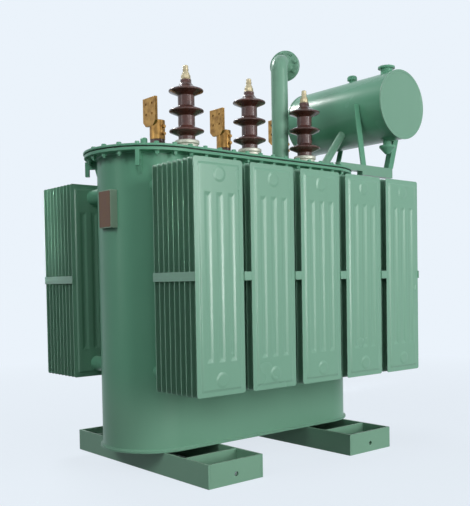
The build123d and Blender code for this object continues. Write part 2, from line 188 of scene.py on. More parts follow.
def pick(kind, test):
    """Selects the vertices, edges or faces whose centre and normal pass the test."""
    bpy.ops.mesh.select_mode(type=kind)
    bpy.ops.mesh.select_all(action="DESELECT")
    mesh = bpy.context.edit_object.data
    cage = bmesh.from_edit_mesh(mesh)
    if kind == "VERT":
        for vert in cage.verts:
            vert.select_set(bool(test(vert.co, vert.normal)))
    elif kind == "EDGE":
        for edge in cage.edges:
            middle = (edge.verts[0].co + edge.verts[1].co) / 2
            edge.select_set(bool(test(middle, edge.verts[1].co - edge.verts[0].co)))
    else:
        for face in cage.faces:
            face.select_set(bool(test(face.calc_center_median(), face.normal)))
    cage.select_flush_mode()
    bmesh.update_edit_mesh(mesh)


def primitive(operator, name, scale=None, **settings):
    """Adds a primitive with nothing else selected, names it and puts its place into its mesh."""
    bpy.ops.object.select_all(action="DESELECT")
    operator(**settings)
    piece = bpy.context.active_object
    if scale is not None:
        piece.scale = scale
    piece.name = name
    piece.data.name = name
    bpy.ops.object.transform_apply(location=True, rotation=True, scale=True)
    return piece


def rod(name, start, end, radius, sides=32):
    """A round or many-sided bar from one point to another."""
    start, end = Vector(start), Vector(end)
    turn = (end - start).to_track_quat("Z", "Y").to_euler()
    return primitive(bpy.ops.mesh.primitive_cylinder_add, name, vertices=sides, radius=radius,
                     depth=(end - start).length, location=(start + end) / 2, rotation=turn)


def trace(name, points):
    """An open chain of edges through these points."""
    piece = primitive(bpy.ops.mesh.primitive_plane_add, name, size=0.01, location=points[0])
    with editing(piece):
        bpy.ops.mesh.merge(type="CENTER")
        for here, there in zip(points, points[1:]):
            bpy.ops.mesh.extrude_region_move(TRANSFORM_OT_translate={"value": there - here})
    return piece


def close_up(piece):
    """Joins doubled points and turns every face outwards."""
    with editing(piece):
        bpy.ops.mesh.remove_doubles(threshold=SAME_POINT)
        bpy.ops.mesh.normals_make_consistent(inside=False)


def soften(piece, width, segments=2, angle=32.0):
    """Rounds the sharp edges and gives flat faces flat shading."""
    only(piece)
    bevel = piece.modifiers.new("edges", "BEVEL")
    bevel.width = width
    bevel.segments = segments
    bevel.limit_method = "ANGLE"
    bevel.angle_limit = math.radians(angle)
    bpy.ops.object.modifier_apply(modifier=bevel.name)
    smooth(piece)
    return piece


def smooth(piece, angle=42.0):
    """Smooth shading across edges flatter than the angle."""
    only(piece)
    bpy.ops.object.shade_smooth_by_angle(angle=math.radians(angle))
    weighted = piece.modifiers.new("normals", "WEIGHTED_NORMAL")
    weighted.keep_sharp = True
    bpy.ops.object.modifier_apply(modifier=weighted.name)
    return piece


def turned(name, profile, foot=(0, 0, 0), steps=64, rounding=0.0015, segments=2):
    """A turned piece from (radius, height) points above its foot, its sharp rings rounded."""
    foot = Vector(foot)
    piece = trace(name, [foot + Vector((radius, 0, height)) for radius, height in profile])
    with editing(piece):
        bpy.ops.mesh.spin(steps=steps, angle=2 * math.pi, center=foot, axis=UP)
    close_up(piece)
    if rounding:
        soften(piece, rounding, segments)
    else:
        smooth(piece)
    return piece


def steps_from(radius, height, steps):
    """Points of a turned profile, given as steps out and up from one point."""
    return [(radius + out, height + up) for out, up in steps]


def place(piece, at=(0, 0, 0), turn=(0, 0, 0)):
    """Turns a piece about the origin, moves it, and puts both into its mesh."""
    only(piece)
    piece.rotation_euler = Euler(turn)
    piece.location = Vector(at)
    bpy.ops.object.transform_apply(location=True, rotation=True, scale=False)
    return piece


def aimed(piece, at, direction):
    """Turns a piece that points up so that it points in a direction, at a place."""
    return place(piece, at, Vector(direction).to_track_quat("Z", "Y").to_euler())


def twin(piece, name):
    """A copy with its own mesh."""
    copy = bpy.data.objects.new(name, piece.data.copy())
    bpy.context.scene.collection.objects.link(copy)
    return copy


def gather(name, pieces):
    """Joins pieces into one."""
    only(*pieces)
    if len(pieces) > 1:
        bpy.ops.object.join()
    piece = bpy.context.active_object
    piece.name = name
    piece.data.name = name
    return piece


def discard(piece):
    """Removes a piece that was only copied from."""
    mesh = piece.data
    bpy.data.objects.remove(piece)
    bpy.data.meshes.remove(mesh)


def soft_copy(node, width, segments=2):
    """A copy of a frame node's form with its triangles joined and its edges rounded."""
    piece = twin(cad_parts[node], node + "_finished")
    only(piece)
    bpy.ops.mesh.customdata_custom_splitnormals_clear()
    with editing(piece):
        bpy.ops.mesh.remove_doubles(threshold=SAME_POINT)
        bpy.ops.mesh.dissolve_limited(angle_limit=math.radians(1.0))
    return soften(piece, width, segments)


def oblong(name, radius, low, high):
    """A slab with the tank's plan: a round slab whose two halves are drawn apart."""
    slab = primitive(bpy.ops.mesh.primitive_cylinder_add, name, vertices=PLAN_STEPS, radius=radius,
                     depth=high - low, rotation=PLAN_TURN,
                     location=(TANK_MIDDLE.x, TANK_MIDDLE.y, (low + high) / 2))
    return draw_apart(slab)


def oblong_bead(name, level):
    """A round bead of weld that follows the tank's plan."""
    bead = primitive(bpy.ops.mesh.primitive_torus_add, name, major_segments=PLAN_STEPS, minor_segments=10,
                     major_radius=TANK_RADIUS, minor_radius=TANK_BEAD, rotation=PLAN_TURN,
                     location=(TANK_MIDDLE.x, TANK_MIDDLE.y, level))
    return smooth(draw_apart(bead), ROUND)


def draw_apart(piece):
    """Moves the two halves of a round piece apart by the tank's straight length."""
    with editing(piece):
        for side in (-1, 1):
            pick("VERT", lambda co, normal: side * (co.x - TANK_MIDDLE.x) > 0
                 and abs(co.x - TANK_MIDDLE.x) < 2 * TANK_RADIUS)
            bpy.ops.transform.translate(value=(side * TANK_STRAIGHT / 2, 0, 0))
    return piece


def oblong_places(radius, number):
    """Evenly spaced places round the tank's plan, from its front left round by the right."""
    half = TANK_STRAIGHT + math.pi * radius
    places = []
    for index in range(number):
        side, run = divmod((index + 0.5) * 2 * half / number, half)
        if run < TANK_STRAIGHT:
            spot = Vector((run - TANK_STRAIGHT / 2, -radius, 0))
        else:
            turn = (run - TANK_STRAIGHT) / radius - math.pi / 2
            spot = Vector((TANK_STRAIGHT / 2 + math.cos(turn) * radius, math.sin(turn) * radius, 0))
        places.append(Vector((TANK_MIDDLE.x, TANK_MIDDLE.y, 0)) + (spot if side == 0 else -spot))
    return places


def bead_ring(name, radius, bead):
    """A ring of weld about the origin, level."""
    ring = primitive(bpy.ops.mesh.primitive_torus_add, name, major_segments=64, minor_segments=8,
                     major_radius=radius, minor_radius=bead)
    return smooth(ring, ROUND)


def hex_head(name, flats, height, washer=0.003):
    """A hexagon head on a round washer, standing on the origin."""
    corner = flats / math.sqrt(3)
    head = rod(name, (0, 0, washer), (0, 0, washer + height), corner, 6)
    with editing(head):
        pick("FACE", lambda co, normal: normal.z > 0.9)
        bpy.ops.mesh.inset(thickness=corner * HEAD_CHAMFER, depth=height * HEAD_CHAMFER)
    ring = rod(name + "_washer", (0, 0, 0), (0, 0, washer), corner * WASHER_REACH, 20)
    return gather(name, [head, ring])


def ring_of(piece, name, centre, radius, number, axis=UP, start=0.0):
    """Copies of a piece in a ring about an axis, joined to one; the first piece is used up."""
    axis = Vector(axis)
    frame_turn = axis.to_track_quat("Z", "Y")
    copies = []
    for index in range(number):
        angle = start + 2 * math.pi * index / number
        arm = frame_turn @ Vector((math.cos(angle) * radius, math.sin(angle) * radius, 0))
        copy = twin(piece, f"{name}_{index}")
        copies.append(aimed(copy, Vector(centre) + arm, axis))
    discard(piece)
    return gather(name, copies)


def hand_over(piece, finish, *nodes):
    """Gives a finished piece its material and its body, and hides the frame nodes that it stands for."""
    piece.data.materials.clear()
    piece.data.materials.append(FINISHES[finish])
    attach(piece, BODY)
    if nodes:
        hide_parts(*nodes)
    return piece


def round_off(node, width, finish):
    """Puts a copy with rounded edges in a frame node's place."""
    hand_over(soft_copy(node, width), finish, node)


# Finishes: shared effects as node groups, one function for each material

FINISHES = {}
SPLASH_TOP, SPLASH_FULL = 0.62, 0.28  # heights where dust from the ground starts and is full
PEEL_BUMP = {"strength": 0.05, "distance": 0.0003}
SCRATCH_BUMP = {"strength": 0.2, "distance": 0.0008}
GLAZE_BUMP = {"strength": 0.12, "distance": 0.002}
RUBBER_BUMP = {"strength": 0.3, "distance": 0.0005}
DUST = (0.43, 0.47, 0.42, 1)


def add(tree, kind, inputs=None, **settings):
    """A shader node with its settings, its input values and the links to its inputs."""
    made = tree.nodes.new("ShaderNode" + kind)
    for key, value in settings.items():
        setattr(made, key, value)
    for key, value in (inputs or {}).items():
        if isinstance(value, bpy.types.NodeSocket):
            tree.links.new(value, made.inputs[key])
        else:
            made.inputs[key].default_value = value
    return made


def sockets(tree, inputs, outputs):
    """Named group sockets, and the group's input and output nodes."""
    for name, (kind, default) in inputs.items():
        socket = tree.interface.new_socket(name=name, in_out="INPUT", socket_type="NodeSocket" + kind)
        if default is not None:
            socket.default_value = default
    for name, kind in outputs.items():
        tree.interface.new_socket(name=name, in_out="OUTPUT", socket_type="NodeSocket" + kind)
    return tree.nodes.new("NodeGroupInput").outputs, tree.nodes.new("NodeGroupOutput").inputs


def value_of(tree, operation, first, second):
    return add(tree, "Math", {0: first, 1: second}, operation=operation, use_clamp=True).outputs[0]


def times(tree, first, second):
    return value_of(tree, "MULTIPLY", first, second)


def plus(tree, first, second):
    return value_of(tree, "ADD", first, second)


def noise(tree, at, scale, detail, **more):
    return add(tree, "TexNoise", {"Vector": at, "Scale": scale, "Detail": detail, **more}).outputs["Fac"]


def ramp(tree, value, start, end, low=0.0, high=1.0, curve="LINEAR"):
    """Carries a value from one range to another."""
    return add(tree, "MapRange", {"Value": value, "From Min": start, "From Max": end, "To Min": low,
                                  "To Max": high}, interpolation_type=curve).outputs["Result"]


def stretch(tree, at, scale):
    return add(tree, "Mapping", {"Vector": at, "Scale": scale}).outputs["Vector"]


def part_of(tree, vector, axis):
    return add(tree, "SeparateXYZ", {0: vector}).outputs[axis]


def blend(tree, factor, first, second, mode="MIX"):
    mix = add(tree, "Mix", data_type="RGBA", blend_type=mode)
    for socket, value in zip((mix.inputs[0], mix.inputs[6], mix.inputs[7]), (factor, first, second)):
        if isinstance(value, bpy.types.NodeSocket):
            tree.links.new(value, socket)
        else:
            socket.default_value = value
    return mix.outputs[2]


def edge_group():
    """How near a point is to an edge: the rounded normal set against the plain one."""
    tree = bpy.data.node_groups.new("edge_mask", "ShaderNodeTree")
    given, out = sockets(tree, {"Radius": ("Float", 0.006), "Patch": ("Float", 1.0),
                                "Coordinates": ("Vector", None)}, {"Mask": "Float"})
    rounded = add(tree, "Bevel", {"Radius": given["Radius"]}, samples=4).outputs["Normal"]
    plain = add(tree, "NewGeometry").outputs["Normal"]
    dot = add(tree, "VectorMath", {0: rounded, 1: plain}, operation="DOT_PRODUCT").outputs["Value"]
    edge = ramp(tree, dot, 0.985, 0.86)
    # Noisy patches along the edges, for rubbed paint and for the painted edge highlight.
    wear_and_highlight_patches = ramp(tree, noise(tree, given["Coordinates"], 16.0, 4.0), 0.38, 0.66)
    tree.links.new(times(tree, times(tree, edge, wear_and_highlight_patches), given["Patch"]), out["Mask"])
    return tree


def enamel_group(edge):
    """Sprayed paint: slow change of tone, faint runs, dust on top and low down, a fine peel, and lighter edges
    that are partly thin paint and partly a painted highlight.
    """
    tree = bpy.data.node_groups.new("sprayed_enamel", "ShaderNodeTree")
    given, out = sockets(
        tree,
        {"Coordinates": ("Vector", None), "Colour": ("Color", (0.2, 0.4, 0.3, 1)),
         "Edge And Highlight Colour": ("Color", (0.4, 0.6, 0.5, 1)), "Dust Colour": ("Color", (0.5, 0.5, 0.45, 1)),
         "Variation": ("Float", 0.5), "Dust": ("Float", 0.3), "Edge Wear And Highlight": ("Float", 0.5),
         "Gloss Base": ("Float", 0.3), "Splash": ("Float", 0.0)},
        {"Colour": "Color", "Roughness": "Float", "Height": "Float"})
    at = given["Coordinates"]
    slow = ramp(tree, noise(tree, at, 2.3, 3.0), 0.2, 0.8, curve="SMOOTHSTEP")
    darker = blend(tree, 1.0, given["Colour"], (0.82, 0.86, 0.85, 1), "MULTIPLY")
    toned = blend(tree, times(tree, slow, given["Variation"]), given["Colour"], darker)
    runs = noise(tree, stretch(tree, at, (14.0, 14.0, 0.9)), 1.0, 2.0)
    toned = blend(tree, ramp(tree, runs, 0.5, 0.8, 0.0, 0.14, "SMOOTHSTEP"), toned, darker)
    upward = ramp(tree, part_of(tree, add(tree, "NewGeometry").outputs["Normal"], "Z"), 0.55, 0.95)
    dusty = times(tree, upward, times(tree, noise(tree, at, 38.0, 6.0), given["Dust"]))
    toned = blend(tree, dusty, toned, given["Dust Colour"])
    low = ramp(tree, part_of(tree, at, "Z"), SPLASH_TOP, SPLASH_FULL, curve="SMOOTHSTEP")
    toned = blend(tree, times(tree, low, given["Splash"]), toned, given["Dust Colour"])
    # Edges go towards the lighter edge colour in noisy patches: partly thin, rubbed paint and partly a painted
    # highlight along the edges.
    rim = add(tree, "Group", {"Coordinates": at, "Patch": given["Edge Wear And Highlight"]}, node_tree=edge).outputs["Mask"]
    tree.links.new(blend(tree, rim, toned, given["Edge And Highlight Colour"]), out["Colour"])
    rough = plus(tree, given["Gloss Base"], times(tree, slow, 0.08))
    tree.links.new(plus(tree, rough, times(tree, dusty, 0.5)), out["Roughness"])
    tree.links.new(noise(tree, at, 210.0, 1.0), out["Height"])
    return tree


def metal_group(edge):
    """Worked metal: blotches of tarnish, fine scratches and bright edges."""
    tree = bpy.data.node_groups.new("worked_metal", "ShaderNodeTree")
    given, out = sockets(
        tree,
        {"Coordinates": ("Vector", None), "Colour": ("Color", (0.6, 0.4, 0.1, 1)),
         "Tarnish Colour": ("Color", (0.2, 0.1, 0.03, 1)), "Tarnish": ("Float", 0.5),
         "Roughness Base": ("Float", 0.3), "Edge Wear And Highlight": ("Float", 0.6)},
        {"Colour": "Color", "Roughness": "Float", "Height": "Float"})
    at = given["Coordinates"]
    blot = ramp(tree, noise(tree, at, 26.0, 5.0, Roughness=0.6), 0.4, 0.72)
    stained = blend(tree, times(tree, blot, given["Tarnish"]), given["Colour"], given["Tarnish Colour"])
    rim = add(tree, "Group", {"Coordinates": at, "Radius": 0.003, "Patch": given["Edge Wear And Highlight"]},
              node_tree=edge).outputs["Mask"]
    bright = blend(tree, 1.0, given["Colour"], (1.35, 1.35, 1.35, 1), "MULTIPLY")
    tree.links.new(blend(tree, rim, stained, bright), out["Colour"])
    tree.links.new(plus(tree, given["Roughness Base"], times(tree, blot, 0.22)), out["Roughness"])
    tree.links.new(noise(tree, stretch(tree, at, (90.0, 90.0, 700.0)), 1.0, 2.0), out["Height"])
    return tree


def fresh(name):
    """A new material: its tree, its Principled shader and the object coordinates."""
    material = bpy.data.materials.new(name)
    material.use_nodes = True
    tree = material.node_tree
    FINISHES[name] = material
    return tree, tree.nodes["Principled BSDF"], add(tree, "TexCoord").outputs["Object"]


def wire_up(tree, shader, skin, bump):
    """Links a colour, a roughness and a height to the shader."""
    tree.links.new(skin["Colour"], shader.inputs["Base Color"])
    tree.links.new(skin["Roughness"], shader.inputs["Roughness"])
    raised = add(tree, "Bump", {"Strength": bump["strength"], "Distance": bump["distance"],
                                "Height": skin["Height"]})
    tree.links.new(raised.outputs["Normal"], shader.inputs["Normal"])


def opaque(rgb):
    return (*rgb, 1.0)


def enamel(name, group, body, edge, gloss, dust, specular, variation=0.5, edge_wear_and_highlight=0.5, splash=0.0):
    tree, shader, at = fresh(name)
    skin = add(tree, "Group", {"Coordinates": at, "Colour": opaque(body), "Edge And Highlight Colour": opaque(edge),
                               "Dust Colour": DUST, "Variation": variation, "Dust": dust,
                               "Edge Wear And Highlight": edge_wear_and_highlight, "Gloss Base": gloss, "Splash": splash}, node_tree=group)
    wire_up(tree, shader, skin.outputs, PEEL_BUMP)
    shader.inputs["Specular IOR Level"].default_value = specular
    shader.inputs["Coat Weight"].default_value = 0.4 * specular
    shader.inputs["Coat Roughness"].default_value = 0.16


def worked(name, group, body, stain, tarnish, roughness, metallic=1.0):
    tree, shader, at = fresh(name)
    skin = add(tree, "Group", {"Coordinates": at, "Colour": opaque(body), "Tarnish Colour": opaque(stain),
                               "Tarnish": tarnish, "Roughness Base": roughness}, node_tree=group)
    wire_up(tree, shader, skin.outputs, SCRATCH_BUMP)
    shader.inputs["Metallic"].default_value = metallic


def glaze(name, body):
    """Brown porcelain: a clear hard coat over a body that thins and reddens in patches."""
    tree, shader, at = fresh(name)
    cloud = ramp(tree, noise(tree, at, 13.0, 4.0), 0.35, 0.7)
    warm = tuple(min(1.0, part * scale) for part, scale in zip(body, (1.6, 1.35, 1.25)))
    wire_up(tree, shader, {"Colour": blend(tree, cloud, opaque(body), opaque(warm)),
                           "Roughness": ramp(tree, cloud, 0.0, 1.0, 0.2, 0.34),
                           "Height": noise(tree, at, 70.0, 2.0)}, GLAZE_BUMP)
    shader.inputs["Coat Weight"].default_value = 0.25
    shader.inputs["Coat Roughness"].default_value = 0.12


def rubber(name):
    """Dull black seal with a fine grain."""
    tree, shader, at = fresh(name)
    grain = noise(tree, at, 120.0, 3.0)
    wire_up(tree, shader, {"Colour": blend(tree, grain, (0.012, 0.014, 0.013, 1), (0.04, 0.045, 0.04, 1)),
                           "Roughness": ramp(tree, grain, 0.0, 1.0, 0.6, 0.85), "Height": grain}, RUBBER_BUMP)


def make_finishes(colours):
    edge = edge_group()
    paint, metal = enamel_group(edge), metal_group(edge)
    # The edge colour is partly thin paint and partly a painted highlight.
    thin = colours.enamel_edge_and_highlight
    enamel("tank_paint", paint, colours.enamel, thin, gloss=0.33, dust=0.25, specular=0.17, splash=0.14)
    # The radiators' paint is a paler green with a painted sheen mixed into its colour.
    enamel("radiator_paint", paint, colours.radiator, thin, gloss=0.20, dust=0.2, specular=0.40, variation=0.35)
    # The rails' paint is a paler green with a painted sheen mixed into its colour.
    enamel("rail_paint", paint, colours.rail, thin, gloss=0.42, dust=0.55, specular=0.25, variation=0.8,
           edge_wear_and_highlight=0.8, splash=0.1)
    enamel("drum_paint", paint, colours.enamel, thin, gloss=0.22, dust=0.25, specular=0.24)
    # The fittings' paint is a paler green with a painted sheen mixed into its colour.
    enamel("fitting_paint_with_sheen", paint, colours.fitting, thin, gloss=0.30, dust=0.25, specular=0.28)
    # The bracket's pale paint is partly its own colour and partly painted light on its front-lit face.
    enamel("bracket_paint_and_light", paint, colours.bracket, thin, gloss=0.4, dust=0.2, specular=0.2)
    worked("brass", metal, colours.brass, (0.17, 0.085, 0.03), tarnish=0.8, roughness=0.34)
    worked("tinned", metal, colours.tinned, (0.27, 0.22, 0.13), tarnish=0.5, roughness=0.36, metallic=0.9)
    worked("alloy", metal, colours.alloy, (0.28, 0.31, 0.27), tarnish=0.6, roughness=0.42, metallic=0.55)
    worked("zinc", metal, colours.zinc, (0.27, 0.27, 0.24), tarnish=0.5, roughness=0.34, metallic=0.85)
    worked("copper", metal, colours.copper, (0.19, 0.12, 0.065), tarnish=0.6, roughness=0.45, metallic=0.3)
    glaze("porcelain", colours.porcelain)
    rubber("gasket")


# Operators, one for each group of pieces

class TRANSFORMER_OT_finishes(bpy.types.Operator):
    """Make the paints, metals, glaze and rubber"""
    bl_idname = "transformer.finishes"
    bl_label = "Finishes"

    def execute(self, context):
        make_finishes(context.scene.transformer_colours)
        return {"FINISHED"}


class TRANSFORMER_OT_tank(bpy.types.Operator):
    """Model the tank wall, its bottom plate, rim and cover, with their weld beads"""
    bl_idname = "transformer.tank"
    bl_label = "Tank"

    def execute(self, context):
        wall = oblong("tank_wall", TANK_RADIUS, TANK_LOW.z, TANK_HIGH.z)
        hand_over(smooth(wall), "tank_paint", "tank_body")
        for node, piece, finish, rounding in (
                ("tank_bottom_plate", "tank_bottom_plate_slab", "tank_paint", 0.002),
                ("tank_flange", "tank_flange_slab", "tank_paint", 0.002),
                ("tank_cover", "tank_cover_slab", "tank_paint", 0.0025),
                ("cover_gasket", "cover_gasket_ring", "gasket", 0.0015)):
            low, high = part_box(node)
            slab = oblong(piece, high.y, low.z, high.z)
            hand_over(soften(slab, rounding), finish, node)
        beads = [oblong_bead("foot_bead", TANK_LOW.z), oblong_bead("rim_bead", FLANGE_LOW)]
        hand_over(gather("tank_weld_beads", beads), "tank_paint")
        return {"FINISHED"}


RIM_HEAD, RIM_NUT = 0.010, 0.013  # heights of a rim bolt's head and nut
RIM_TAIL = ((0, 0), (0.008, 0), (0.008, 0.024), (0.006, 0.026), (0, 0.026))
RIM_TURN = 0.37  # turn from bolt to bolt, as hand-tightened heads stand


class TRANSFORMER_OT_rim_bolts(bpy.types.Operator):
    """Bolt the cover to the rim"""
    bl_idname = "transformer.rim_bolts"
    bl_label = "Rim bolts"

    def execute(self, context):
        sizes = context.scene.transformer_bolts
        head = hex_head("rim_bolt", sizes.flats, RIM_HEAD)
        nut = hex_head("rim_nut", sizes.flats, RIM_NUT)
        tail = turned("rim_tail", RIM_TAIL, steps=12, rounding=0)
        nut = place(gather("rim_nut", [nut, tail]), (0, 0, FLANGE_LOW - COVER_TOP), (math.pi, 0, 0))
        bolt = smooth(gather("rim_bolt", [head, nut]), angle=35)
        bolts = []
        for index, spot in enumerate(oblong_places(FLANGE_RADIUS - sizes.rim_inset, sizes.rim_count)):
            copy = twin(bolt, f"rim_bolt_{index}")
            bolts.append(place(copy, (spot.x, spot.y, COVER_TOP), (0, 0, RIM_TURN * index)))
        discard(bolt)
        hand_over(gather("cover_rim_bolts", bolts), "tank_paint")
        return {"FINISHED"}


# Section of the round pressing, as shares of its radius and its rise
BOSS = ((1.0, -0.1), (0.97, 0.02), (0.94, 0.1), (0.72, 0.86), (0.68, 0.95), (0.62, 0.99), (0.54, 1.0), (0.0, 1.0))
SEAM_ROUNDING = 0.3  # rounding of the seam's edge, against its thickness
OUTER_FOLDS, INNER_FOLDS = 4, 1  # steps round a fold, in panels that show and that don't


def pressed_panel(name, sizes, width, height, folds):
    """One panel: two pressed sheets welded along a seam, with upright grooves between the oil channels."""
    piece = primitive(bpy.ops.mesh.primitive_plane_add, name, (width, height, 1), size=1,
                      rotation=(math.pi / 2, 0, 0), location=(0, -sizes.seam / 2, 0))
    half_x, half_z = width / 2, height / 2
    lines = (sizes.rim, sizes.rim + sizes.shoulder)
    grooves = [(index - (sizes.grooves - 1) / 2) * sizes.groove_pitch for index in range(sizes.grooves)]
    groove_half = sizes.groove_width / 2
    groove_top = half_z - sizes.groove_margin
    body_x, body_z = half_x - lines[1], half_z - lines[1]
    cuts_x = [side * (half_x - line) for side in (-1, 1) for line in lines]
    cuts_x += [middle + side * groove_half for middle in grooves for side in (-1, 1)]
    cuts_z = [side * (half_z - line) for side in (-1, 1) for line in lines]
    cuts_z += [-groove_top, groove_top]
    with editing(piece):
        bpy.ops.mesh.bevel(offset=sizes.corner, segments=4, affect="VERTICES")
        for way, cuts in ((Vector((1, 0, 0)), cuts_x), (UP, cuts_z)):
            for cut in cuts:
                bpy.ops.mesh.select_all(action="SELECT")
                bpy.ops.mesh.bisect(plane_co=way * cut, plane_no=way)
        pick("FACE", lambda co, normal: abs(co.x) < body_x and abs(co.z) < body_z)
        bpy.ops.transform.translate(value=(0, -sizes.rise, 0))
        pick("FACE", lambda co, normal: abs(co.z) < groove_top
             and any(abs(co.x - middle) < groove_half for middle in grooves))
        bpy.ops.mesh.inset(thickness=sizes.groove_wall, depth=-sizes.groove_depth, use_individual=True)
        floor_end = groove_top - sizes.groove_wall
        for side in (-1, 1):
            pick("VERT", lambda co, normal: abs(side * co.z - floor_end) < 0.001)
            bpy.ops.transform.translate(value=(0, 0, side * (sizes.groove_wall - sizes.groove_run_out)))
    soften(piece, sizes.fold, folds, angle=3.0)
    only(piece)
    mirror = piece.modifiers.new("back", "MIRROR")
    mirror.use_axis = (False, True, False)
    mirror.use_mirror_merge = False
    bpy.ops.object.modifier_apply(modifier=mirror.name)
    with editing(piece):
        bpy.ops.mesh.select_mode(type="EDGE")
        bpy.ops.mesh.select_all(action="DESELECT")
        bpy.ops.mesh.select_non_manifold(extend=False, use_wire=False, use_boundary=True, use_multi_face=False,
                                         use_non_contiguous=False, use_verts=False)
        bpy.ops.mesh.bridge_edge_loops()
    close_up(piece)
    return soften(piece, sizes.seam * SEAM_ROUNDING, angle=60.0)


def radiator(sizes, low, high):
    """One radiator about the origin: its outermost panel at the lowest Y, its foot at Z = 0."""
    width, height = high.x - low.x, high.z - low.z
    outer = pressed_panel("outer_panel", sizes, width, height, OUTER_FOLDS)
    inner = pressed_panel("inner_panel", sizes, width, height, INNER_FOLDS)
    pieces = [place(outer, (0, 0, height / 2))]
    for index in range(1, sizes.panels):
        pieces.append(place(twin(inner, f"panel_{index}"), (0, index * sizes.pitch, height / 2)))
    discard(inner)
    face = sizes.seam / 2 + sizes.rise
    reach = (sizes.panels - 1) * sizes.pitch
    dome = [(sizes.boss_radius * out, sizes.boss_rise * up) for out, up in BOSS]
    for level in (sizes.header_inset, height - sizes.header_inset):
        pieces.append(smooth(rod("header", (0, 0, level), (0, reach, level), sizes.header_radius, 40)))
        boss = turned("boss", dome, steps=64, rounding=0)
        pieces.append(aimed(boss, (0, -face, level), (0, -1, 0)))
    return gather("radiator", pieces)


class TRANSFORMER_OT_radiators(bpy.types.Operator):
    """Model one pressed panel radiator and set it in both banks"""
    bl_idname = "transformer.radiators"
    bl_label = "Radiators"

    def execute(self, context):
        sizes = context.scene.transformer_radiators
        low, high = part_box("front_radiator_1")
        master = radiator(sizes, low, high)
        bodies = [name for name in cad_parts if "_radiator_" in name]
        if not bodies:
            raise RuntimeError("the frame has no radiators")
        reach = (sizes.panels - 1) * sizes.pitch + sizes.seam / 2 + sizes.rise
        tank_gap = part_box("front_header_stubs")[0].y
        for node in sorted(bodies):
            low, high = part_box(node)
            piece = twin(master, node + "_pressed")
            front = low.y < 0
            outer_y = tank_gap - reach if front else reach - tank_gap
            place(piece, ((low.x + high.x) / 2, outer_y, low.z), (0, 0, 0 if front else math.pi))
            hand_over(piece, "radiator_paint", node)
        discard(master)
        return {"FINISHED"}


class TRANSFORMER_OT_straps(bpy.types.Operator):
    """Round the edges of the straps, ties and header stubs"""
    bl_idname = "transformer.straps"
    bl_label = "Straps and stubs"

    def execute(self, context):
        for side in ("front", "rear"):
            for part, width, finish in (("edge_straps", 0.001, "radiator_paint"),
                                        ("bank_ties", 0.0015, "radiator_paint"),
                                        ("header_stubs", 0.001, "tank_paint")):
                round_off(f"{side}_{part}", width, finish)
        return {"FINISHED"}


class TRANSFORMER_OT_rails(bpy.types.Operator):
    """Round the edges of the skid rails' plates"""
    bl_idname = "transformer.rails"
    bl_label = "Skid rails"

    def execute(self, context):
        for side in ("left", "right"):
            for part in ("rail_webs", "rail_ends", "rail_cross_plates"):
                round_off(f"{side}_{part}", 0.0018, "rail_paint")
        return {"FINISHED"}


def middles(node, number):
    """Centres in X of a row of like solids that share a node, from its box."""
    low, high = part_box(node)
    each = high.y - low.y
    first, last = low.x + each / 2, high.x - each / 2
    return [first + (last - first) * index / (number - 1) for index in range(number)]


# Radii and heights of the turned bushings, and profiles as points or as steps from a rim
HV_CORE, HV_HEAD, HV_HEAD_FOOT = 0.047, 0.031, 0.322
HV_HEAD_NECK = (0.035, 0.315)
HV_SHEDS = (0.051, 0.163, 0.275)  # heights of the sheds' middles
HV_SHED = ((-0.012, -0.009), (0, -0.004), (0, 0.005), (-0.014, 0.011))
HV_SHED_ROOT = 0.026  # half a shed's height at the core
HV_PLATE, HV_PLATE_TOP = 0.012, (0.064, 0.014)
HV_LIP = ((0.062, -0.024), (0.070, -0.020), (0.070, -0.004), (0.064, 0), (HV_CORE, 0))
HV_NUTS, HV_NUT_RING, HV_NUT_SIZE = 8, 0.069, 0.6
HV_STUD = ((0, 0), (0.028, 0), (0.028, 0.005), (0.022, 0.007), (0.022, 0.030), (0.015, 0.044))
HV_STUD_TIP = ((0.015, -0.004), (0.011, 0), (0, 0))
HV_STUD_COLLAR = ((0.015, 0.050), (0.017, 0.051), (0.017, 0.057), (0.015, 0.058))
HV_STUD_NUT = (0.007, 0.024, 0.027)  # foot, top and radius
LV_NECK, LV_RIBS = 0.044, ((0, 0.016), (0.024, 0.036), (0.044, 0.062))
LV_NECK_TOP = 0.072
LV_SCREWS, LV_SCREW_X, LV_SCREW_Y = (0.030, 0.072), 0.012, -0.044


